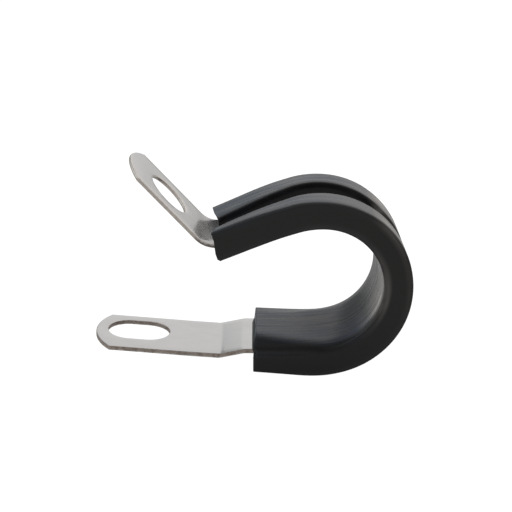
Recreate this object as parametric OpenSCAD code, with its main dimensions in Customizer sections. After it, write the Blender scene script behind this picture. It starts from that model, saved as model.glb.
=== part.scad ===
// Rubber-lined P clip, sprung open as it is before it goes round a pipe.
// The origin is the middle of the pipe seat: Y runs along the pipe,
// the two ears reach out towards -X, and the lower limb lies level.

/* [Pipe seat] */
// Radius of the rubber face that grips the pipe
seat_r = 9.2; // [7:0.1:16]
// How far the loop wraps, from the lower limb round to the upper limb
wrap_deg = 200.4; // [190:0.2:215]
// Length of the lined lower limb, past the loop
lower_limb = 9.4; // [6:0.1:20]
// Length of the lined upper limb, past the loop
upper_limb = 12; // [6:0.1:20]

/* [Steel band] */
// Width of the band
band_w = 12; // [11:0.5:20]
// Thickness of the band
band_t = 0.7; // [0.5:0.05:1.2]
// Radius of the arc that ends each ear
tip_r = 9.4; // [8.4:0.1:14]
// How far the tips' arcs lie off the band's middle, towards the back
tip_shift = 0.5; // [0:0.05:1]

/* [Rubber liner] */
// Thickness of the pad between the pipe and the band
pad_t = 1.05; // [0.8:0.05:2]
// Thickness of the walls that cover the band's edges
wall_t = 1.45; // [0.8:0.05:2.5]
// Thickness of the lips that fold over the band
lip_t = 2.35; // [1:0.05:3.5]
// Width of the open slot between the two lips
lip_gap = 4.7; // [2:0.1:8]
// Radius of the liner's long outer edges
edge_r = 0.45; // [0.2:0.05:0.7]
// Radius of the lips' edges along the slot
lip_r = 0.3; // [0.1:0.05:0.6]
// Gap between the rubber and the steel, all round
seat_gap = 0.05; // [0.02:0.01:0.15]

/* [Lower ear] */
// Bare band between the liner and the step down
step_start = 1.5; // [0.5:0.1:5]
// Slope of the step, downwards from the limb
step_deg = 12.4; // [5:0.2:25]
// Length of the sloping part of the step
step_l = 3.5; // [1:0.1:8]
// Rise of the ear above level, towards its tip
lower_ear_deg = 3.3; // [0:0.1:10]
// Length of the flat ear, from the step to its tip
lower_ear_l = 19; // [14:0.1:30]
// Inside radius of the two bends of the step
step_r = 1.2; // [0.6:0.1:3]
// Length of the slot for the bolt
slot_l = 9.6; // [8:0.1:11]
// Width of the slot for the bolt
slot_w = 7; // [4:0.1:7.4]
// Distance from the tip to the middle of the slot
slot_from_tip = 6.75; // [6:0.05:8]
// How far the slot lies off the band's middle, towards the back
slot_shift = 0.95; // [0:0.05:1]

/* [Upper ear] */
// Angle through which the ear is bent away from the limb
upper_ear_deg = 66.9; // [40:0.2:90]
// Inside radius of that bend
upper_ear_r = 2.7; // [1:0.1:5]
// Length of the flat ear, from the bend to its tip
upper_ear_l = 15.25; // [14:0.05:26]
// How far inside the rubber's end the upper ear's bend begins
bend_lead = 0.35; // [0:0.05:0.4]
// Diameter of the round hole for the bolt
hole_d = 7; // [4:0.1:8]
// Distance from the tip to the middle of the hole
hole_from_tip = 8.25; // [6:0.05:9]

/* [Hidden] */
$fn = 96;

// Radius of the band's inner face round the loop
band_r = seat_r + pad_t + seat_gap;
// Depth and half width of the channel that holds the band
channel_t = band_t + 2 * seat_gap;
channel_half = band_w / 2 + seat_gap;
// Outer size of the liner's section
liner_t = pad_t + channel_t + lip_t;
liner_w = 2 * (channel_half + wall_t);
// Largest angle between neighbouring points of a bend
facet_deg = 3;
// How far cutters run past the faces they cut
past = 1;

// A run is a list of steps along the strip: [length] goes straight, and
// [radius, angle] bends. A positive angle bends towards the pipe side and a
// negative one away from it. The radius is that of the strip's pipe-side face.
lower_run = [
    [lower_limb + step_start],
    [step_r + band_t, -step_deg],
    [step_l],
    [step_r, step_deg + lower_ear_deg]
];
upper_run = [
    [upper_limb - bend_lead],
    [upper_ear_r + band_t, -upper_ear_deg]
];

// Place after a share of one step: how far ahead, how far out from the pipe
// side, and the heading there
function after(place, step, share = 1) =
    let (heading = place[2])
    len(step) == 1
        ? place + share * step[0] * [cos(heading), sin(heading), 0]
        : let (reach = step[0] * sign(step[1]), turned = heading - share * step[1])
            [place[0] + reach * (sin(heading) - sin(turned)),
             place[1] + reach * (cos(turned) - cos(heading)),
             turned];

// Every place along a run where the strip's side view needs a point
function places(run, i = 0, place = [0, 0, 0]) =
    i == len(run) ? [place] :
    let (parts = len(run[i]) == 1 ? 1 : ceil(abs(run[i][1]) / facet_deg))
    concat(
        [for (k = [0:parts - 1]) after(place, run[i], k / parts)],
        places(run, i + 1, after(place, run[i]))
    );

// The line that runs beside a run, some way out from its pipe side
function beside(run, out) =
    [for (place = places(run)) [place[0] - out * sin(place[2]), place[1] + out * cos(place[2])]];

function backwards(list) = [for (i = [len(list) - 1:-1:0]) list[i]];

// Moves to the end of one step of a run
module past_step(step) {
    if (len(step) == 1)
        translate([step[0], 0, 0]) children();
    else {
        centre = step[0] * sign(step[1]);
        translate([0, 0, -centre]) rotate([0, step[1], 0]) translate([0, 0, centre]) children();
    }
}

// Moves to the end of a whole run
module past_run(run, i = 0) {
    if (i < len(run))
        past_step(run[i]) past_run(run, i + 1) children();
    else
        children();
}

// Strip of band that follows a run, seen from the side and extruded to width
module strip(run) {
    rotate([90, 0, 0])
        linear_extrude(band_w, center = true)
            polygon(concat(beside(run, 0), backwards(beside(run, band_t))));
}

// Sweeps a section along one straight stretch
module sweep_straight(length) {
    translate([length, 0, 0]) rotate([0, -90, 0]) linear_extrude(length) children();
}

// Sweeps a section round a bend towards the pipe side
module sweep_bend(radius, angle) {
    translate([0, 0, -radius]) rotate([-90, -90, 0])
        rotate_extrude(angle = angle) translate([radius, 0]) children();
}

// Start of the loop, at its lowest point, heading away from the ears
module at_loop(r) {
    rotate([180, 0, 0]) translate([0, 0, r]) children();
}

// Start of the lower limb, at the same point but heading for its ear
module at_lower_limb(r) {
    rotate([0, 180, 0]) translate([0, 0, r]) children();
}

// Start of the upper limb, at the loop's other end
module at_upper_limb(r) {
    at_loop(r) past_step([r, wrap_deg]) children();
}

// What is cut from an ear's end to leave its tip a shallow arc
module tip_cutter(length, shift) {
    translate([length - tip_r, 0, -past]) linear_extrude(band_t + 2 * past)
        difference() {
            translate([0, -band_w / 2 - past]) square([tip_r + past, band_w + 2 * past]);
            translate([0, shift]) circle(tip_r);
        }
}

// Slot with round ends, along X through an ear
module slot_cutter() {
    reach = (slot_l - slot_w) / 2;
    translate([0, 0, -past]) linear_extrude(band_t + 2 * past) {
        for (x = [-reach, reach])
            translate([x, 0]) circle(slot_w / 2);
        square([2 * reach, slot_w], center = true);
    }
}

// Round hole through an ear
module hole_cutter() {
    translate([0, 0, -past]) cylinder(h = band_t + 2 * past, d = hole_d);
}

// Section of the band: x points away from the pipe and y lies along it
module band_section() {
    translate([0, -band_w / 2]) square([band_t, band_w]);
}

// One strip of steel: ear, step, lower limb, loop, upper limb, bend and ear
module steel_band() {
    color([0.73, 0.73, 0.72])
        difference() {
            union() {
                at_lower_limb(band_r) strip(concat(lower_run, [[lower_ear_l]]));
                at_loop(band_r) sweep_bend(band_r, wrap_deg) band_section();
                at_upper_limb(band_r) strip(concat(upper_run, [[upper_ear_l]]));
            }
            at_lower_limb(band_r) past_run(lower_run) {
                tip_cutter(lower_ear_l, tip_shift);
                translate([lower_ear_l - slot_from_tip, slot_shift, 0]) slot_cutter();
            }
            at_upper_limb(band_r) past_run(upper_run) {
                tip_cutter(upper_ear_l, -tip_shift);
                translate([upper_ear_l - hole_from_tip, 0, 0]) hole_cutter();
            }
        }
}

// Outline of the liner's section before the band's channel is cut: x points
// away from the pipe and y lies along it
module liner_blank() {
    inset = liner_w / 2 - edge_r;
    for (x = [edge_r, liner_t - edge_r], y = [-inset, inset])
        translate([x, y]) circle(edge_r);
    translate([edge_r, -liner_w / 2]) square([liner_t - 2 * edge_r, liner_w]);
    translate([0, -inset]) square([liner_t, 2 * inset]);
}

// What is cut to round a corner that lies r along both x and y
module corner_cutter(r) {
    difference() {
        square(r + past);
        circle(r);
    }
}

// C-shaped section: a pad on the pipe side, walls over the band's edges and
// two lips that leave a slot between them
module liner_section() {
    difference() {
        liner_blank();
        translate([pad_t, -channel_half]) square([channel_t, 2 * channel_half]);
        translate([pad_t, -lip_gap / 2]) square([liner_t, lip_gap]);
        for (side = [0, 1])
            mirror([0, side])
                translate([liner_t - lip_r, -lip_gap / 2 - lip_r]) corner_cutter(lip_r);
    }
}

// One moulded rubber channel that wraps the loop and both limbs
module rubber_liner() {
    color([0.13, 0.14, 0.15]) {
        at_loop(seat_r) sweep_bend(seat_r, wrap_deg) liner_section();
        at_lower_limb(seat_r) sweep_straight(lower_limb) liner_section();
        at_upper_limb(seat_r) sweep_straight(upper_limb) liner_section();
    }
}

steel_band();
rubber_liner();
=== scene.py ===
import math

import bmesh
import bpy
from mathutils import Matrix, Vector
from mathutils.geometry import delaunay_2d_cdt


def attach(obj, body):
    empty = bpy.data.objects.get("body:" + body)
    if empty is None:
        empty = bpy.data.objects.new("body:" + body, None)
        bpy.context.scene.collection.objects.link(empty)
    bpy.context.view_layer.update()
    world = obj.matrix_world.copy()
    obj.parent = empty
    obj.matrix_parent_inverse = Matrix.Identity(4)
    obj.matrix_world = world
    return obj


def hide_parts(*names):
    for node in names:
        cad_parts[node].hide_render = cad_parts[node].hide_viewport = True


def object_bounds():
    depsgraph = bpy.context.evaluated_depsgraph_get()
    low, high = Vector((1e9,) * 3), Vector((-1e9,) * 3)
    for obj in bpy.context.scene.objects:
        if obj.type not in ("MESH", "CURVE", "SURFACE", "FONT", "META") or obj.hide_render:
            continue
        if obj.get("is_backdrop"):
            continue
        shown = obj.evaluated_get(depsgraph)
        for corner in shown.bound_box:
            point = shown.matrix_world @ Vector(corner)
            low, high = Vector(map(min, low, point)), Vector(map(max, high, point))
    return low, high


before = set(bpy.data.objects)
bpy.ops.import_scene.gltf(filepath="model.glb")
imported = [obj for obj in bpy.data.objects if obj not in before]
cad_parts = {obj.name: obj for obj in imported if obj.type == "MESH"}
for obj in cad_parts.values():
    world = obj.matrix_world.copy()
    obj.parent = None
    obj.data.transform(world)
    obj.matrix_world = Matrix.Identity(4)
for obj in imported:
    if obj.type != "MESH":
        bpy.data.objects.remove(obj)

CAD_LO, CAD_HI = (v.copy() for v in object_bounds())
MM = 0.001

# Main sizes in millimetres. They are the CAD model's, but for the upper limb,
# which is drawn 0.2 mm longer.
SEAT_R = 9.2
WRAP = math.radians(200.4)
LOWER_LIMB = 9.4
UPPER_LIMB = 12.2
LINER_W = 15.0
LINER_T = 4.2
PAD_T = 1.05
CHANNEL_T = 0.8
CHANNEL_HALF = 6.05
BAND_W = 12.0
BAND_T = 0.7
BAND_GAP = 0.05
BAND_R = SEAT_R + PAD_T + BAND_GAP


# ---------------------------------------------------------------- helpers

def smooth(a, b, x):
    """0 at a, 1 at b and an even curve between them, whichever is larger."""
    t = min(1.0, max(0.0, (x - a) / (b - a)))
    return t * t * (3 - 2 * t)


def curve(table, x):
    """Value at x of a smooth curve through the rows of a table."""
    if x <= table[0][0]:
        return table[0][1]
    if x >= table[-1][0]:
        return table[-1][1]
    i = next(k for k in range(len(table) - 1) if x <= table[k + 1][0])
    (x0, y0), (x1, y1) = table[i], table[i + 1]
    xa, ya = table[max(0, i - 1)]
    xb, yb = table[min(len(table) - 1, i + 2)]
    m0 = (y1 - ya) / (x1 - xa)
    m1 = (yb - y0) / (xb - x0)
    d = x1 - x0
    t = (x - x0) / d
    return (
        (2 * t**3 - 3 * t**2 + 1) * y0 + (t**3 - 2 * t**2 + t) * d * m0
        + (3 * t**2 - 2 * t**3) * y1 + (t**3 - t**2) * d * m1
    )


def new_object(name, bm):
    mesh = bpy.data.meshes.new(name)
    bmesh.ops.recalc_face_normals(bm, faces=bm.faces)
    bm.to_mesh(mesh)
    bm.free()
    obj = bpy.data.objects.new(name, mesh)
    bpy.context.scene.collection.objects.link(obj)
    return obj


def turtle(steps, start, heading):
    """Follows (length,) and (radius, angle) steps in the XZ plane and returns
    a function from arc length to (point, direction), and the total length."""
    rows = []
    x, z = start
    done = 0.0
    for step in steps:
        if len(step) == 1:
            rows.append((done, x, z, heading, 0.0))
            x += step[0] * math.cos(heading)
            z += step[0] * math.sin(heading)
            done += step[0]
        else:
            radius, angle = step
            k = math.copysign(1 / radius, angle)
            rows.append((done, x, z, heading, k))
            turned = heading + angle
            x += (math.sin(turned) - math.sin(heading)) / k
            z -= (math.cos(turned) - math.cos(heading)) / k
            heading = turned
            done += radius * abs(angle)

    def at(s):
        """Place and heading at s, which may run past either end."""
        row = rows[0]
        for r in rows:
            if s >= r[0] - 1e-9:
                row = r
        begin, x0, z0, h, k = row
        d = s - begin
        if k == 0.0:
            return (x0 + d * math.cos(h), z0 + d * math.sin(h)), h
        t = h + k * d
        return (x0 + (math.sin(t) - math.sin(h)) / k, z0 - (math.cos(t) - math.cos(h)) / k), t

    return at, done


# ---------------------------------------------------------------- rubber liner

LINER_PATH, LINER_LEN = turtle(
    [(LOWER_LIMB,), (SEAT_R, WRAP), (UPPER_LIMB,)], (-LOWER_LIMB, -SEAT_R), 0.0
)
HALF_W = LINER_W / 2
CHANNEL_TOP = PAD_T + CHANNEL_T
BACK_EDGE_R = 0.35
SLOT_EDGE_R = 0.2
LINER_STEPS = 260
# bevel round each cut end
CUT_BEVEL = 0.09
# how much of the dust and of the painted highlight each kind of surface takes, as a share
FACE_DUST_AND_HIGHLIGHT = 1.0
SLOT_DUST_AND_HIGHLIGHT = 0.5
ROUNDING_DUST_AND_HIGHLIGHT = 0.2
NO_DUST_OR_HIGHLIGHT = 0.0

# How the moulded rubber departs from the even channel: rows of (arc length
# along the seat from the lower end, value in millimetres).
# Levels of the seat's front and back sides, out from the even seat. Towards the
# upper end they are the same.
SEAT_LAST = [(36.0, -0.09), (39.5, -0.13), (42.4, 0.01), (45.0, 0.07), (49.0, -0.05), (53.6, -0.28)]
SEAT_FRONT = [
    (0.0, -0.05), (6.5, -0.1), (11.0, -0.25), (15.5, -0.26), (20.0, -0.16), (25.0, -0.04),
    (31.4, -0.01),
] + SEAT_LAST
SEAT_BACK = [
    (0.0, -0.28), (5.0, -0.13), (8.0, -0.11), (11.4, -0.28), (15.8, -0.3), (20.0, -0.26),
    (25.0, -0.15), (31.4, -0.03),
] + SEAT_LAST
# Levels of the lips' front and back sides, out from the even seat. They part
# half way round the loop.
OUTER_FIRST = [
    (0.0, 4.18), (4.0, 4.48), (8.2, 4.72), (11.5, 4.54), (15.9, 4.43), (20.3, 4.34), (25.0, 4.22),
]
OUTER_FRONT = OUTER_FIRST + [
    (31.0, 4.16), (34.5, 3.98), (38.2, 3.94), (41.5, 4.2), (46.8, 4.4), (53.6, 4.25),
]
OUTER_BACK = OUTER_FIRST + [
    (31.0, 4.15), (35.0, 4.21), (39.0, 4.26), (44.0, 4.43), (47.0, 4.32), (50.0, 4.08),
    (53.6, 3.75),
]
# Where the slot between the lips lies across the liner, and its width
SLOT_MIDDLE = [
    (20.0, 0.0), (27.0, -0.7), (30.7, -0.85), (32.3, -0.49), (35.0, -0.13), (38.5, -0.03),
    (41.0, -0.43), (45.7, -1.33), (50.0, -2.22), (53.6, -2.75),
]
SLOT_WIDTH = [
    (20.0, 4.5), (27.0, 4.1), (30.7, 3.8), (34.0, 4.85), (41.0, 5.4), (45.7, 4.95), (50.0, 4.65),
    (53.6, 4.7),
]
# Radius of the seat's front edge, and of the lips' outer edges
SEAT_EDGE_R = [(0.0, 0.9), (6.0, 0.9), (14.0, 0.5), (53.6, 0.35)]
OUTER_EDGE_R = [(0.0, 0.25), (20.0, 0.3), (33.0, 0.4), (41.0, 0.45), (48.0, 0.45), (53.6, 0.35)]
# Share of the width in which the seat's front level gives way to its back level
FRONT_SHARE = 0.35
# How far the seat falls away at the front face. It does so in front of a brink,
# which nears that face along the lower limb.
BRINK_START = -2.8
BRINK_LIMIT = -5.3
BRINK_SLOPE = 0.25
FALL_POWER = 1.25
SEAT_FALL = [(0.0, 0.75), (5.0, 0.75), (10.0, 0.5), (15.0, 0.15), (20.0, 0.0)]
# How far the seat stands above its sides along its crest, which is at CREST_Y
CREST_Y = 5.0
SEAT_CROWN = [(0.0, 0.05), (5.0, 0.25), (10.0, 0.65), (15.0, 0.33), (22.0, 0.1), (53.6, 0.0)]

# The ends aren't cut square: how far their parts are left long, or cut short
# where a value is negative. The lips' table has rows of (place across, value).
END_ZONE = 3.0
PAD_TO_LIPS = (1.0, 2.6)
UPPER_LIPS = [(-7.5, 0.0), (-6.8, -0.15), (-4.4, -0.85), (-0.4, -0.75), (3.0, -0.1), (7.5, 0.5)]
UPPER_PAD = 0.55
LOWER_PAD = 0.5
LOWER_WALL_BY_SEAT = -0.21
LOWER_WALL_GROWS = 0.54
# the seat's last corner at the upper end is round
CORNER_R = 0.35
CORNER_CUT = 0.3
CORNER_ZONE = 0.8


def rounding(out, across, radius, start, end, parts):
    """Points of an edge's arc round (out, across)."""
    pts = []
    for i in range(parts + 1):
        a = start + (end - start) * i / parts
        u = out + radius * math.cos(a)
        v = across + radius * math.sin(a)
        pts.append((u, v, ROUNDING_DUST_AND_HIGHLIGHT))
    return pts


def between(a, b, parts, dust_and_highlight):
    """Points that cut the run from a to b into equal parts, without its ends."""
    return [
        (a[0] + (b[0] - a[0]) * i / parts, a[1] + (b[1] - a[1]) * i / parts, dust_and_highlight)
        for i in range(1, parts)
    ]


def even_section(s):
    """The C-shaped section at arc length s before it is uneven: points of
    (out from the seat, across, share of dust and painted highlight)."""
    t, half, quarter = LINER_T, HALF_W, math.pi / 2
    r_back, r_lip = BACK_EDGE_R, SLOT_EDGE_R
    r_out = curve(OUTER_EDGE_R, s)
    r_front = curve(SEAT_EDGE_R, s)
    back_lip = curve(SLOT_MIDDLE, s) + curve(SLOT_WIDTH, s) / 2
    front_lip = curve(SLOT_MIDDLE, s) - curve(SLOT_WIDTH, s) / 2
    # seat and back wall
    pts = between((0.0, -half + r_front), (0.0, half - r_back), parts=22, dust_and_highlight=FACE_DUST_AND_HIGHLIGHT)
    pts += rounding(r_back, half - r_back, r_back, 2 * quarter, quarter, parts=6)
    pts += between((r_back, half), (t - r_out, half), parts=4, dust_and_highlight=NO_DUST_OR_HIGHLIGHT)
    # back lip
    pts += rounding(t - r_out, half - r_out, r_out, quarter, 0, parts=6)
    pts += between((t, half - r_out), (t, back_lip + r_lip), parts=5, dust_and_highlight=FACE_DUST_AND_HIGHLIGHT)
    pts += rounding(t - r_lip, back_lip + r_lip, r_lip, 0, -quarter, parts=4)
    pts.append((CHANNEL_TOP, back_lip, SLOT_DUST_AND_HIGHLIGHT))
    # channel
    pts.append((CHANNEL_TOP, CHANNEL_HALF, NO_DUST_OR_HIGHLIGHT))
    pts.append((PAD_T, CHANNEL_HALF, NO_DUST_OR_HIGHLIGHT))
    pts += between((PAD_T, CHANNEL_HALF), (PAD_T, -CHANNEL_HALF), parts=6, dust_and_highlight=NO_DUST_OR_HIGHLIGHT)
    pts.append((PAD_T, -CHANNEL_HALF, NO_DUST_OR_HIGHLIGHT))
    pts.append((CHANNEL_TOP, -CHANNEL_HALF, NO_DUST_OR_HIGHLIGHT))
    # front lip
    pts.append((CHANNEL_TOP, front_lip, SLOT_DUST_AND_HIGHLIGHT))
    pts += rounding(t - r_lip, front_lip - r_lip, r_lip, quarter, 0, parts=4)
    pts += between((t, front_lip - r_lip), (t, -half + r_out), parts=5, dust_and_highlight=FACE_DUST_AND_HIGHLIGHT)
    pts += rounding(t - r_out, -half + r_out, r_out, 0, -quarter, parts=6)
    # front wall
    pts += between((t - r_out, -half), (r_front, -half), parts=4, dust_and_highlight=NO_DUST_OR_HIGHLIGHT)
    pts += rounding(r_front, -half + r_front, r_front, -quarter, -2 * quarter, parts=6)
    return pts


def uneven(s, pts):
    """The section at arc length s with its seat and lips at their real levels."""
    t, half = LINER_T, HALF_W
    front, back = curve(SEAT_FRONT, s), curve(SEAT_BACK, s)
    low, high = curve(OUTER_FRONT, s) - t, curve(OUTER_BACK, s) - t
    fall, crown = curve(SEAT_FALL, s), curve(SEAT_CROWN, s)
    brink = max(BRINK_LIMIT, BRINK_START - BRINK_SLOPE * s)
    moved = []
    for u, v, dust_and_highlight in pts:
        # 0 at the front face and 1 at the back
        side = (v + half) / LINER_W
        level = front + (back - front) * smooth(0.0, FRONT_SHARE, side)
        level += fall * max(0.0, (brink - v) / (half + brink)) ** FALL_POWER
        level -= crown * smooth(-half if v < CREST_Y else half, CREST_Y, v)
        # the seat's level fades out inside the rubber, and deeper in the walls
        in_wall = abs(v) > CHANNEL_HALF + 0.3
        faded_out = smooth(0.95, 2.6, u) if in_wall else smooth(0.3, PAD_T, u)
        # the lips' level fades in from the channel outwards
        rise = (low + (high - low) * side) * smooth(CHANNEL_TOP, t - 1.0, u)
        moved.append((u + level * (1 - faded_out) + rise, v, dust_and_highlight))
    return moved


def shrunk(pts, by):
    """The same section, smaller by that much all round."""
    out = []
    n = len(pts)
    for i, (u, v, dust_and_highlight) in enumerate(pts):
        ua, va = pts[i - 1][:2]
        ub, vb = pts[(i + 1) % n][:2]
        du, dv = ub - ua, vb - va
        d = math.hypot(du, dv) or 1.0
        out.append((u + by * dv / d, v - by * du / d, dust_and_highlight))
    return out


def end_shift(s, u, v):
    """How far the cuts move a point along the seat: the point at arc length s,
    u out from the seat and v across it."""
    lower = 1 - smooth(0.0, END_ZONE, s)
    upper = smooth(LINER_LEN - END_ZONE, LINER_LEN, s)
    # 0 on the seat's side and 1 on the lips' side
    lip_side = smooth(*PAD_TO_LIPS, u)
    shift = 0.0
    if lower:
        behind_face = smooth(-7.4, -6.4, v)
        pad_side = 1 - lip_side
        pad = LOWER_PAD * smooth(0.0, 1.0, u) * smooth(7.5, 3.8, v) * behind_face
        wall = LOWER_WALL_GROWS * smooth(0.3, 4.6, u) + LOWER_WALL_BY_SEAT
        shift -= lower * (pad * pad_side + wall * (1 - pad_side * behind_face))
    if upper:
        lip = curve(UPPER_LIPS, v) * lip_side
        pad = UPPER_PAD * (1 - smooth(0.2, 2.8, u)) * (1 - smooth(0.5, 4.0, v))
        into_corner = min(1.0, max(0.0, 1 - u / CORNER_R))
        corner = -CORNER_CUT * (1 - math.sqrt(1 - into_corner**2))
        last = smooth(LINER_LEN - CORNER_ZONE, LINER_LEN, s)
        shift += upper * (lip + pad) + last * corner
    return shift


def build_liner():
    bm = bmesh.new()
    place = bm.verts.layers.float_vector.new("place")
    dust_and_highlight_layer = bm.verts.layers.float.new("dust_and_highlight")
    # (arc length, how far the section is shrunk); both ends are bevelled
    stations = [(0.0, CUT_BEVEL), (CUT_BEVEL, 0.0)]
    stations += [(LINER_LEN * i / LINER_STEPS, 0.0) for i in range(1, LINER_STEPS)]
    stations += [(LINER_LEN - CUT_BEVEL, 0.0), (LINER_LEN, CUT_BEVEL)]
    rings = []
    for s, shrink in stations:
        pts = uneven(s, even_section(s))
        if shrink:
            pts = shrunk(pts, shrink)
        ring = []
        for u, v, dust_and_highlight in pts:
            (x, z), h = LINER_PATH(s + end_shift(s, u, v))
            # away from the pipe is to the right of the heading
            nx, nz = math.sin(h), -math.cos(h)
            vert = bm.verts.new(((x + nx * u) * MM, v * MM, (z + nz * u) * MM))
            vert[place] = (s, v, u)
            vert[dust_and_highlight_layer] = dust_and_highlight
            ring.append(vert)
        rings.append(ring)
    n = len(rings[0])
    for a, b in zip(rings, rings[1:]):
        for i in range(n):
            j = (i + 1) % n
            bm.faces.new((a[i], a[j], b[j], b[i]))
    caps = [bm.faces.new(rings[0]), bm.faces.new(list(reversed(rings[-1])))]
    for f in bm.faces:
        f.smooth = True
    for f in caps:
        f.smooth = False
    return new_object("liner_rubber", bm)


# ---------------------------------------------------------------- steel band

STEP_ANGLE = math.radians(12.4)
LOWER_EAR_ANGLE = math.radians(3.3)
UPPER_EAR_ANGLE = math.radians(66.9)
LOWER_RUN = 1.5
STEP_R = 1.2
STEP_L = 3.5
LOWER_EAR_L = 18.95
# the lower ear has a slight kink, this far past the crease
KINK_AT = 3.4
KINK_R = 80.0
KINK_ANGLE = math.radians(0.7)
UPPER_BEND_R = 3.4
CAD_BEND_R = 2.7
# the wider bend takes this much from the straight runs on both sides of it
BEND_TRIM = (UPPER_BEND_R - CAD_BEND_R) * math.tan(UPPER_EAR_ANGLE / 2)
UPPER_EAR_L = 14.98 - BEND_TRIM
UPPER_STRAIGHT = 11.65 - BEND_TRIM
TIP_R = 9.4
LOWER_TIP_SHIFT = 0.55
UPPER_TIP_SHIFT = 0.3
SLOT_FROM_TIP = 6.54
SLOT_L = 9.5
SLOT_W = 6.9
SLOT_Y = 0.78
HOLE_FROM_TIP = 8.05
HOLE_R = 3.45

# The strip's pipe-side face, from the loop's lowest point to each ear's tip
LOWER_STEPS = [
    (LOWER_LIMB + LOWER_RUN,),
    (STEP_R + BAND_T, STEP_ANGLE),
    (STEP_L,),
    (STEP_R, -(STEP_ANGLE + LOWER_EAR_ANGLE)),
    (KINK_AT,),
    (KINK_R, -KINK_ANGLE),
    (LOWER_EAR_L - KINK_AT - KINK_R * KINK_ANGLE,),
]
UPPER_STEPS = [
    (BAND_R, WRAP),
    (UPPER_STRAIGHT,),
    (UPPER_BEND_R + BAND_T, -UPPER_EAR_ANGLE),
    (UPPER_EAR_L,),
]
LOWER_PATH, LOWER_LEN = turtle(LOWER_STEPS, (0.0, -BAND_R), math.pi)
UPPER_PATH, UPPER_LEN = turtle(UPPER_STEPS, (0.0, -BAND_R), 0.0)
CREASE_AT = (
    LOWER_LIMB + LOWER_RUN + (STEP_R + BAND_T) * STEP_ANGLE + STEP_L
    + STEP_R * (STEP_ANGLE + LOWER_EAR_ANGLE) / 2
)
CREASE_SKEW = math.tan(math.radians(2.6))
# the skew fades between these distances from the crease
SKEW_FADES = (2.4, 0.6)
# the strip's thickness and edge radius change within these stretches of it
THINNER_BY = 0.1
THINS_IN = (44.0, 50.0)
EDGE_R = 0.12
EDGE_R_GROWS = 0.17
ROUNDS_IN = (30.0, 36.0)
BEND_MIDDLE = BAND_R * WRAP + UPPER_STRAIGHT + (UPPER_BEND_R + BAND_T) * UPPER_EAR_ANGLE / 2


# The slot and the hole, in places along and across the strip
SLOT_S = SLOT_FROM_TIP - LOWER_LEN
SLOT_R = SLOT_W / 2
SLOT_REACH = (SLOT_L - SLOT_W) / 2
HOLE_S = UPPER_LEN - HOLE_FROM_TIP

# inner points of the strip's faces, kept clear of the tips and openings
COLUMN_STEP = 0.35
ROWS_ACROSS = (-4.8, -3.6, -2.4, -1.2, 0.0, 1.2, 2.4, 3.6, 4.8)
TIP_CLEAR = 0.6
OPENING_CLEAR = 0.45
# slack for triangles along an opening's rim
RIM_SLACK = 0.008


def band_point(s, y, h):
    """Point of the strip: s along it from the loop's lowest point (negative
    towards the lower ear), y across it, h out from the pipe-side face."""
    if s >= 0:
        (x, z), a = UPPER_PATH(s)
        nx, nz = math.sin(a), -math.cos(a)
    else:
        # the crease runs a little askew across the strip
        askew = CREASE_SKEW * y * smooth(*SKEW_FADES, abs(-s - CREASE_AT))
        (x, z), a = LOWER_PATH(-s - askew)
        x += askew * math.cos(a)
        z += askew * math.sin(a)
        nx, nz = -math.sin(a), math.cos(a)
    return Vector(((x + nx * h) * MM, y * MM, (z + nz * h) * MM))


def strip_thickness(s):
    """Thickness of the strip, a tenth less in the bend and the upper ear."""
    return BAND_T * (1 - THINNER_BY * smooth(*THINS_IN, s))


def edge_radius(s):
    """Radius of the strip's edges, which are rounder past the loop."""
    return EDGE_R + EDGE_R_GROWS * smooth(*ROUNDS_IN, s)


def tip_outline(length, sign, shift):
    """Outline of an ear's end: points from the front side to the back."""
    half = BAND_W / 2
    a0 = math.asin((-half - shift) / TIP_R)
    a1 = math.asin((half - shift) / TIP_R)
    parts = 24
    pts = []
    for i in range(parts + 1):
        a = a0 + (a1 - a0) * i / parts
        pts.append((sign * (length - TIP_R + TIP_R * math.cos(a)), shift + TIP_R * math.sin(a)))
    return pts


def resample(a, b):
    """Places from a to b, but without b, at most a column step apart."""
    n = max(1, int(math.ceil(abs(b - a) / COLUMN_STEP)))
    return [a + (b - a) * i / n for i in range(n)]


def band_outline(lower_tip, upper_tip):
    """The strip's outline, anticlockwise."""
    half = BAND_W / 2
    outer = [(s, -half) for s in resample(lower_tip[0][0], upper_tip[0][0])]
    outer += upper_tip[:-1]
    outer += [(s, half) for s in resample(upper_tip[-1][0], lower_tip[-1][0])]
    outer += list(reversed(lower_tip))[:-1]
    return outer


def slot_outline():
    """The slot's outline, clockwise."""
    parts = 28
    pts = []
    for side in (1, -1):
        for i in range(parts + 1):
            a = side * math.pi / 2 - math.pi * i / parts
            s = SLOT_S + side * SLOT_REACH + SLOT_R * math.cos(a)
            pts.append((s, SLOT_Y + SLOT_R * math.sin(a)))
    return pts


def hole_outline():
    """The hole's outline, clockwise."""
    parts = 64
    pts = []
    for i in range(parts):
        a = -2 * math.pi * i / parts
        pts.append((HOLE_S + HOLE_R * math.cos(a), HOLE_R * math.sin(a)))
    return pts


def clearances(s, y):
    """How far a place on the strip is from the slot and from the hole."""
    past_slot = max(0.0, abs(s - SLOT_S) - SLOT_REACH)
    from_slot = math.hypot(past_slot, y - SLOT_Y) - SLOT_R
    from_hole = math.hypot(s - HOLE_S, y) - HOLE_R
    return from_slot, from_hole


def offset_loop(pts, distances):
    """Closed loop with each point moved its own distance to the left."""
    out = []
    n = len(pts)
    for i in range(n):
        a, b, c = Vector(pts[i - 1]), Vector(pts[i]), Vector(pts[(i + 1) % n])
        e1, e2 = (b - a).normalized(), (c - b).normalized()
        n1, n2 = Vector((-e1.y, e1.x)), Vector((-e2.y, e2.x))
        m = (n1 + n2).normalized()
        out.append(tuple(b + m * (distances[i] / max(0.5, m.dot(n1)))))
    return out


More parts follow.
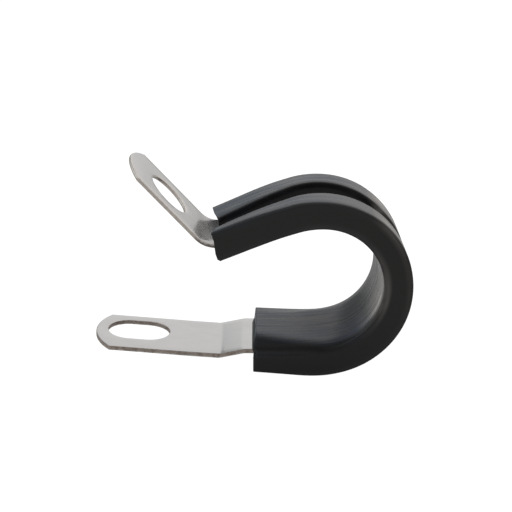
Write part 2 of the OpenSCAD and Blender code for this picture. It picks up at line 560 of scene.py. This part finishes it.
def edge_profile():
    """The strip's edge from the pipe-side face to the other: rows of (inset,
    level, rise), where level is a share of the strip's thickness, and inset
    and rise are shares of the local edge radius."""
    corner = []
    for t in (0.0, 0.25, 0.5, 0.75, 1.0):
        a = t * math.pi / 2
        corner.append((1 - math.sin(a), 1 - math.cos(a)))
    rows = [(inset, 0.0, rise) for inset, rise in corner]
    rows.append((0.0, 0.5, 0.0))
    rows += [(inset, 1.0, -rise) for inset, rise in reversed(corner)]
    return rows


def build_band():
    bm = bmesh.new()
    edge_layer = bm.verts.layers.float.new("edge")
    place = bm.verts.layers.float_vector.new("place")

    def new_vert(s, y, h, on_edge):
        vert = bm.verts.new(band_point(s, y, h))
        vert[edge_layer] = on_edge
        vert[place] = (s, y, h)
        return vert

    lower_tip = tip_outline(LOWER_LEN, -1, LOWER_TIP_SHIFT)
    upper_tip = tip_outline(UPPER_LEN, 1, UPPER_TIP_SHIFT)
    profile = edge_profile()
    flat_pts = []
    edges = []
    # each flat point's two vertices, one on each face; None for inner points
    rims = []
    for pts in (band_outline(lower_tip, upper_tip), slot_outline(), hole_outline()):
        radii = [edge_radius(s) for s, _ in pts]
        m = len(pts)
        rings = []
        for k, (inset, level, rise) in enumerate(profile):
            # the outermost rows look like the faces that they round off
            on_edge = 1.0 if 2 <= k <= len(profile) - 3 else 0.0
            ring = []
            for (s, y), r in zip(offset_loop(pts, [inset * r for r in radii]), radii):
                h = BAND_T + (level - 1) * strip_thickness(s) + rise * r
                ring.append(new_vert(s, y, h, on_edge))
            rings.append(ring)
        for a, b in zip(rings, rings[1:]):
            for i in range(m):
                j = (i + 1) % m
                bm.faces.new((a[i], a[j], b[j], b[i]))
        base = len(flat_pts)
        for i, p in enumerate(offset_loop(pts, radii)):
            flat_pts.append(Vector(p))
            edges.append((base + i, base + (i + 1) % m))
            rims.append((rings[0][i], rings[-1][i]))
    # both faces are filled with the same triangles
    first = max(lower_tip[0][0], lower_tip[-1][0]) + TIP_CLEAR
    last = min(upper_tip[0][0], upper_tip[-1][0]) - TIP_CLEAR
    for s in resample(first, last):
        for y in ROWS_ACROSS:
            if min(clearances(s, y)) >= OPENING_CLEAR:
                flat_pts.append(Vector((s, y)))
                rims.append(None)
    fill_pts, _, triangles, origins, _, _ = delaunay_2d_cdt(flat_pts, edges, [], 1, 1e-6)
    slot_rim = edge_radius(SLOT_S) - RIM_SLACK
    hole_rim = edge_radius(HOLE_S) - RIM_SLACK
    for side in (0, 1):
        made = []
        for p, came_from in zip(fill_pts, origins):
            on_rim = [k for k in came_from if rims[k] is not None]
            if on_rim:
                made.append(rims[on_rim[0]][side])
            else:
                h = BAND_T - (1 - side) * strip_thickness(p.x)
                made.append(new_vert(p.x, p.y, h, 0.0))
        for triangle in triangles:
            c = sum((fill_pts[k] for k in triangle), Vector((0, 0))) / len(triangle)
            from_slot, from_hole = clearances(c.x, c.y)
            if from_slot >= slot_rim and from_hole >= hole_rim:
                bm.faces.new([made[k] for k in triangle])
    bmesh.ops.delete(bm, geom=[v for v in bm.verts if not v.link_faces], context="VERTS")
    for f in bm.faces:
        f.smooth = True
    return new_object("band_steel", bm)


# ---------------------------------------------------------------- materials

# target ranges of a value that is mapped
UP = (0.0, 1.0)
DOWN = (1.0, 0.0)


def material(name):
    mat = bpy.data.materials.new(name)
    mat.use_nodes = True
    nt = mat.node_tree
    return mat, nt, nt.nodes["Principled BSDF"]


def node(nt, kind, **values):
    n = nt.nodes.new(kind)
    for k, v in values.items():
        setattr(n, k, v)
    return n


def separated(nt, vector):
    """The X, Y and Z of a vector."""
    parts = node(nt, "ShaderNodeSeparateXYZ")
    nt.links.new(vector, parts.inputs[0])
    return [parts.outputs[k] for k in "XYZ"]


def stretched_noise(nt, place, scale, detail):
    """Noise over the place attribute, finer along the axes with more scale."""
    stretch = node(nt, "ShaderNodeMapping")
    stretch.inputs["Scale"].default_value = scale
    nt.links.new(place, stretch.inputs["Vector"])
    noise = node(nt, "ShaderNodeTexNoise")
    noise.inputs["Scale"].default_value = 1.0
    noise.inputs["Detail"].default_value = detail
    nt.links.new(stretch.outputs["Vector"], noise.inputs["Vector"])
    return noise.outputs["Fac"]


def fine_grain(nt, scale, detail):
    where = node(nt, "ShaderNodeTexCoord")
    grain = node(nt, "ShaderNodeTexNoise")
    grain.inputs["Scale"].default_value = scale
    grain.inputs["Detail"].default_value = detail
    nt.links.new(where.outputs["Object"], grain.inputs["Vector"])
    return grain.outputs["Fac"]


def mapped(nt, value, source, target, kind="LINEAR"):
    """Value carried from the source range to the target range and kept in it."""
    n = node(nt, "ShaderNodeMapRange", interpolation_type=kind)
    for name, number in zip(("From Min", "From Max", "To Min", "To Max"), source + target):
        n.inputs[name].default_value = number
    nt.links.new(value, n.inputs["Value"])
    return n.outputs["Result"]


def faded(nt, value, source, target):
    """The same, but easing in and out of the target range."""
    return mapped(nt, value, source, target, "SMOOTHSTEP")


def math_node(nt, operation, a, b):
    n = node(nt, "ShaderNodeMath", operation=operation)
    for i, value in enumerate((a, b)):
        if isinstance(value, (int, float)):
            n.inputs[i].default_value = value
        else:
            nt.links.new(value, n.inputs[i])
    return n.outputs[0]


def product(nt, a, b):
    return math_node(nt, "MULTIPLY", a, b)


def added(nt, a, b):
    return math_node(nt, "ADD", a, b)


def less(nt, a, b):
    return math_node(nt, "SUBTRACT", a, b)


def mixed(nt, share, a, b):
    """Colour a where share is 0 and colour b where it is 1."""
    n = node(nt, "ShaderNodeMix", data_type="RGBA")
    nt.links.new(share, n.inputs["Factor"])
    for name, value in (("A", a), ("B", b)):
        if isinstance(value, tuple):
            n.inputs[name].default_value = value
        else:
            nt.links.new(value, n.inputs[name])
    return n.outputs["Result"]


def bumped(nt, height, strength, distance, normal=None):
    n = node(nt, "ShaderNodeBump")
    n.inputs["Strength"].default_value = strength
    n.inputs["Distance"].default_value = distance
    nt.links.new(height, n.inputs["Height"])
    if normal:
        nt.links.new(normal, n.inputs["Normal"])
    return n.outputs["Normal"]


# Colour of the bloom and dust on the seat and on the lips, with a painted warm highlight on the
# right of the loop (the bright rows near 21.5 mm on the seat and 31.3 mm on the lips):
# rows of (arc length, colour), which is added to the bare rubber's
SEAT_DUST_AND_HIGHLIGHT = [
    (0.0, (0.010, 0.017, 0.031)), (6.0, (0.005, 0.0095, 0.021)), (11.0, (0.002, 0.004, 0.012)),
    (15.5, (0.004, 0.006, 0.015)), (18.0, (0.038, 0.037, 0.039)), (21.5, (0.175, 0.158, 0.148)),
    (31.0, (0.020, 0.020, 0.022)), (53.6, (0.012, 0.015, 0.020)),
]
LIP_DUST_AND_HIGHLIGHT = [
    (0.0, (0.012, 0.014, 0.018)), (20.0, (0.03, 0.03, 0.03)), (27.0, (0.11, 0.10, 0.092)),
    (31.3, (0.20, 0.187, 0.175)), (32.2, (0.10, 0.094, 0.09)), (33.2, (0.031, 0.031, 0.036)),
    (37.0, (0.011, 0.014, 0.022)), (42.0, (0.004, 0.009, 0.018)), (53.6, (0.003, 0.0105, 0.022)),
]
# the lower limb's bare rubber is darker: painted shade
BARE_LOWER_SHADED = (0.0025, 0.002, 0.0018, 1)
BARE_UPPER = (0.0062, 0.0052, 0.0046, 1)


def dust_and_highlight_ramp(nt, share, table):
    """Colour from the table at a share of the liner's length."""
    n = node(nt, "ShaderNodeValToRGB")
    stops = n.color_ramp.elements
    while len(stops) < len(table):
        stops.new(0.5)
    for stop, (at, _) in zip(stops, table):
        stop.position = at / LINER_LEN
    # the colours come last, because a new place may reorder the stops
    for stop, (_, colour) in zip(stops, table):
        stop.color = colour + (1.0,)
    nt.links.new(share, n.inputs["Fac"])
    return n.outputs["Color"]


def rubber_material():
    mat, nt, bsdf = material("rubber_detail")
    bsdf.inputs["IOR"].default_value = 1.41
    place = node(nt, "ShaderNodeAttribute", attribute_name="place").outputs["Vector"]
    dust_and_highlight = node(nt, "ShaderNodeAttribute", attribute_name="dust_and_highlight").outputs["Fac"]
    # millimetres along the seat, across it, and out from it
    along, across, outward = separated(nt, place)

    # fine lines that run along the extrusion, and broader cloudy streaks
    lines = stretched_noise(nt, place, scale=(0.06, 2.0, 0.9), detail=5.0)
    streaks = stretched_noise(nt, place, scale=(0.14, 0.7, 0.35), detail=3.0)
    pattern = added(nt, lines, product(nt, streaks, 0.8))

    # bare rubber, painted darker along the lower limb as painted shade, and the colour of the dust
    # and painted highlight on it
    past_lower_limb = faded(nt, along, (12.0, 26.0), UP)
    bare_and_shade = mixed(nt, past_lower_limb, BARE_LOWER_SHADED, BARE_UPPER)
    share = math_node(nt, "DIVIDE", along, LINER_LEN)
    on_lips = mapped(nt, outward, (1.5, 2.5), UP)
    seat_dust_and_highlight, lip_dust_and_highlight = dust_and_highlight_ramp(nt, share, SEAT_DUST_AND_HIGHLIGHT), dust_and_highlight_ramp(nt, share, LIP_DUST_AND_HIGHLIGHT)
    bloom_and_highlight = mixed(nt, on_lips, seat_dust_and_highlight, lip_dust_and_highlight)

    # amount of dust and painted highlight: more in the streaks
    dust_and_highlight_amount = product(nt, mapped(nt, pattern, (0.74, 1.08), (0.25, 1.85)), dust_and_highlight)
    # the seat's rim by the front face takes less of the added colour and is rougher near the lower
    # end, so it is darker there
    rim = added(nt, across, product(nt, along, 0.3))
    dimmed_rim = faded(nt, rim, (-4.6, -2.6), DOWN)
    dimmed_rim = product(nt, dimmed_rim, mapped(nt, outward, (0.6, 1.2), DOWN))
    dust_and_highlight_amount = product(nt, dust_and_highlight_amount, less(nt, 1.0, product(nt, dimmed_rim, 0.9)))
    # round the loop the seat takes more of the added colour towards the front face, a painted
    # highlight along its front edge, and less towards the back
    round_loop = product(nt, faded(nt, along, (12.0, 18.0), UP), less(nt, 1.0, on_lips))
    front_edge_highlight = faded(nt, across, (-6.0, 1.0), (0.8, -0.65))
    dust_and_highlight_amount = product(nt, dust_and_highlight_amount, added(nt, 1.0, product(nt, round_loop, front_edge_highlight)))

    dust_and_highlight_colour = node(nt, "ShaderNodeVectorMath", operation="SCALE")
    nt.links.new(bloom_and_highlight, dust_and_highlight_colour.inputs[0])
    nt.links.new(dust_and_highlight_amount, dust_and_highlight_colour.inputs["Scale"])
    colour = node(nt, "ShaderNodeVectorMath", operation="ADD")
    nt.links.new(bare_and_shade, colour.inputs[0])
    nt.links.new(dust_and_highlight_colour.outputs[0], colour.inputs[1])
    nt.links.new(colour.outputs[0], bsdf.inputs["Base Color"])

    # roughness: even where no dust lies, streaked under it, more on the rim
    rough = node(nt, "ShaderNodeMix", data_type="FLOAT")
    rough.inputs["A"].default_value = 0.36
    nt.links.new(dust_and_highlight, rough.inputs["Factor"])
    nt.links.new(mapped(nt, pattern, (0.72, 1.12), (0.21, 0.44)), rough.inputs["B"])
    matt = product(nt, dimmed_rim, 0.45)
    nt.links.new(added(nt, rough.outputs["Result"], matt), bsdf.inputs["Roughness"])

    grain = fine_grain(nt, scale=7000, detail=3)
    ridges = bumped(nt, product(nt, lines, dust_and_highlight), strength=0.55, distance=0.00008)
    relief = bumped(nt, grain, strength=0.15, distance=0.00003, normal=ridges)
    nt.links.new(relief, bsdf.inputs["Normal"])
    return mat


# The sheared edge of the strip, sound and torn, on its lower and upper parts; the lower part's
# colours are darkened as painted shade, the upper part's lightened as painted light
SHADED_LOWER_SOUND = (0.57, 0.52, 0.485, 1)
SHADED_LOWER_TORN = (0.38, 0.32, 0.285, 1)
LIT_UPPER_SOUND = (0.76, 0.71, 0.67, 1)
LIT_UPPER_TORN = (0.60, 0.54, 0.50, 1)
EDGE_SPOT = (0.25, 0.195, 0.17, 1)
# painted dark reflection of the liner, laid on the torn edge by the bend
BEND_DARK_REFLECTION = (0.12, 0.10, 0.09, 1)
FACE_DARK = (0.495, 0.485, 0.48, 1)
FACE_PALE = (0.54, 0.53, 0.525, 1)


def steel_material():
    mat, nt, bsdf = material("steel_detail")
    bsdf.inputs["Metallic"].default_value = 1.0
    place = node(nt, "ShaderNodeAttribute", attribute_name="place").outputs["Vector"]
    edge = node(nt, "ShaderNodeAttribute", attribute_name="edge").outputs["Fac"]
    # millimetres along the strip, and out from its pipe-side face
    along, _, outward = separated(nt, place)
    from_bend = math_node(nt, "ABSOLUTE", less(nt, along, BEND_MIDDLE), 0.0)

    # rolled faces: fine lines along the strip and faint clouding
    rolling = stretched_noise(nt, place, scale=(0.06, 4.5, 0.5), detail=4.0)
    clouds = stretched_noise(nt, place, scale=(0.22, 0.35, 0.5), detail=4.0)
    pattern = added(nt, product(nt, rolling, 0.5), clouds)
    face = mixed(nt, mapped(nt, pattern, (0.5, 1.0), UP), FACE_DARK, FACE_PALE)

    # sheared edges: bright towards the outer face, torn and brown below it
    torn_noise = stretched_noise(nt, place, scale=(1.9, 1.9, 3.2), detail=5.0)
    level = added(nt, outward, product(nt, torn_noise, 0.5))
    torn = faded(nt, level, (0.62, 0.78), DOWN)
    shaded_lower_wall = mixed(nt, torn, SHADED_LOWER_SOUND, SHADED_LOWER_TORN)
    lit_upper_wall = mixed(nt, torn, LIT_UPPER_SOUND, LIT_UPPER_TORN)
    # painted shade and light: the lower ear's edges take the darker colours, the upper ear's the
    # lighter ones
    wall = mixed(nt, mapped(nt, along, (10.0, 34.0), UP), shaded_lower_wall, lit_upper_wall)
    # brown spots, fainter on the upper ear
    spots = mapped(nt, torn_noise, (0.45, 0.58), (0.0, 0.8))
    spots = product(nt, spots, mapped(nt, along, (30.0, 40.0), (1.0, 0.35)))
    wall = mixed(nt, spots, wall, EDGE_SPOT)
    # a painted dark reflection of the liner on the torn part of the edge by the bend
    bend_reflection = product(nt, faded(nt, from_bend, (1.8, 3.2), (0.8, 0.0)), torn)
    wall = mixed(nt, bend_reflection, wall, BEND_DARK_REFLECTION)
    nt.links.new(mixed(nt, edge, face, wall), bsdf.inputs["Base Color"])

    # the bend's stretched steel is hazy: fine dull specks between polished ones
    specks = mapped(nt, fine_grain(nt, scale=26000, detail=2), (0.47, 0.53), (-0.05, 0.42))
    haze = product(nt, faded(nt, from_bend, (2.2, 5.5), DOWN), specks)
    face_rough = added(nt, mapped(nt, pattern, (0.5, 1.0), (0.13, 0.19)), haze)
    wall_rough = mapped(nt, torn_noise, (0.3, 0.7), (0.34, 0.5))
    rough = node(nt, "ShaderNodeMix", data_type="FLOAT")
    nt.links.new(edge, rough.inputs["Factor"])
    nt.links.new(face_rough, rough.inputs["A"])
    nt.links.new(wall_rough, rough.inputs["B"])
    nt.links.new(rough.outputs["Result"], bsdf.inputs["Roughness"])

    grain = fine_grain(nt, scale=9000, detail=3)
    relief = bumped(nt, rolling, strength=0.12, distance=0.00001)
    relief = bumped(nt, grain, strength=0.06, distance=0.00001, normal=relief)
    torn_relief = product(nt, torn_noise, edge)
    relief = bumped(nt, torn_relief, strength=0.35, distance=0.00004, normal=relief)
    nt.links.new(relief, bsdf.inputs["Normal"])
    return mat


# ---------------------------------------------------------------- pieces

liner = build_liner()
liner.data.materials.append(rubber_material())
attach(liner, "root")
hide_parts("rubber_liner")

band = build_band()
band.data.materials.append(steel_material())
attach(band, "root")
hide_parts("steel_band")


# ---------------------------------------------------------------- stage

FLOOR_HALF = 4.0
FLOOR_GREY = (0.5, 0.5, 0.5, 1)
FLOOR_GLOW = 1.2
# how much of the glow each kind of ray sees
GLOW_SHARES = (("Is Camera Ray", 0.84), ("Is Glossy Ray", 0.05), ("Is Transmission Ray", 0.84))

WHITE = (1, 1, 1, 1)
COOL = (0.93, 0.99, 1, 1)
WARM = (1, 0.98, 0.95, 1)


def floor_material():
    mat = bpy.data.materials.new("floor_white")
    mat.use_nodes = True
    nt = mat.node_tree
    nt.nodes.clear()
    ray = node(nt, "ShaderNodeLightPath")
    share = 0.0
    for kind, part in GLOW_SHARES:
        share = added(nt, product(nt, ray.outputs[kind], part), share)
    matt = node(nt, "ShaderNodeBsdfDiffuse")
    matt.inputs["Color"].default_value = FLOOR_GREY
    glow = node(nt, "ShaderNodeEmission")
    glow.inputs["Strength"].default_value = FLOOR_GLOW
    mix = node(nt, "ShaderNodeMixShader")
    nt.links.new(share, mix.inputs[0])
    nt.links.new(matt.outputs[0], mix.inputs[1])
    nt.links.new(glow.outputs[0], mix.inputs[2])
    out = node(nt, "ShaderNodeOutputMaterial")
    nt.links.new(mix.outputs[0], out.inputs["Surface"])
    return mat


def build_floor(z):
    bm = bmesh.new()
    corners = ((-1, -1), (1, -1), (1, 1), (-1, 1))
    bm.faces.new([bm.verts.new((x * FLOOR_HALF, y * FLOOR_HALF, z)) for x, y in corners])
    obj = new_object("floor", bm)
    obj.data.materials.append(floor_material())
    obj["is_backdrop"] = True


def build_world():
    """White for the camera, and a softly shaded room for every other ray."""
    world = bpy.data.worlds.new("studio")
    bpy.context.scene.world = world
    world.use_nodes = True
    nt = world.node_tree
    sky = nt.nodes["Background"]
    seen = node(nt, "ShaderNodeLightPath").outputs["Is Camera Ray"]
    unseen = less(nt, 1.0, seen)
    toward = node(nt, "ShaderNodeTexCoord").outputs["Generated"]
    across, ahead, above = separated(nt, toward)

    # a bright room behind the clip, dimmer to the left and towards the horizon,
    # and dimmer again on the near side
    near_level = faded(nt, above, (0.0, 0.6), (0.25, 0.6))
    far_level = faded(nt, above, (-0.05, 0.25), (0.66, 0.97))
    far_level = product(nt, far_level, faded(nt, across, (-0.25, -0.16), (0.42, 1.0)))
    behind = faded(nt, ahead, (-0.4, 0.2), UP)
    near_part = product(nt, less(nt, 1.0, behind), near_level)
    level = added(nt, product(nt, behind, far_level), near_part)
    # a soft box to the left
    box_side = faded(nt, across, (-0.8, -0.5), DOWN)
    box_height = faded(nt, above, (0.1, 0.4), UP)
    level = added(nt, level, product(nt, box_side, box_height))
    nt.links.new(math_node(nt, "MAXIMUM", level, seen), sky.inputs["Strength"])

    # a little cooler to the left and warmer to the right
    cool = mapped(nt, across, (-0.35, -0.15), DOWN)
    warm = mapped(nt, across, (0.1, 0.5), UP)
    colour = mixed(nt, product(nt, cool, unseen), WHITE, COOL)
    colour = mixed(nt, product(nt, warm, unseen), colour, WARM)
    nt.links.new(colour, sky.inputs["Color"])


def area_light(name, place, target, size, watts):
    """A square lamp that lights the clip but isn't reflected in it."""
    data = bpy.data.lights.new(name, "AREA")
    data.energy = watts
    data.size = size
    obj = bpy.data.objects.new(name, data)
    obj.location = place
    obj.rotation_euler = (Vector(target) - Vector(place)).to_track_quat("-Z", "Y").to_euler()
    obj.visible_glossy = False
    bpy.context.scene.collection.objects.link(obj)


build_floor(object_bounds()[0].z)
build_world()
area_light("key", place=(-0.15, -0.1, 0.5), target=(0, 0, 0), size=0.3, watts=1.2)


# ---------------------------------------------------------------- camera

LENS = 77.34375
SENSOR = 36
CAMERA_AT = (-10.673, -156.411, 57.907)
YAW = math.radians(0.10)
PITCH = math.radians(19.55)
ROLL = 0.016


def rolled(v):
    """The vector turned about the Y axis by the camera's roll."""
    x, y, z = v
    c, s = math.cos(ROLL), math.sin(ROLL)
    return Vector((x * c - z * s, y, x * s + z * c))


def build_camera():
    data = bpy.data.cameras.new("camera")
    data.lens = LENS
    data.sensor_width = SENSOR
    data.clip_start = 0.01
    data.clip_end = 20
    cam = bpy.data.objects.new("camera", data)
    level_part = math.cos(PITCH)
    right = Vector((math.cos(YAW), -math.sin(YAW), 0))
    ahead = Vector((math.sin(YAW) * level_part, math.cos(YAW) * level_part, -math.sin(PITCH)))
    up = right.cross(ahead)
    turn = Matrix((rolled(right), rolled(up), -rolled(ahead))).transposed().to_4x4()
    cam.matrix_world = Matrix.Translation(Vector(CAMERA_AT) * MM) @ turn
    bpy.context.scene.collection.objects.link(cam)
    bpy.context.scene.camera = cam


build_camera()
bpy.context.scene.view_settings.view_transform = "Standard"
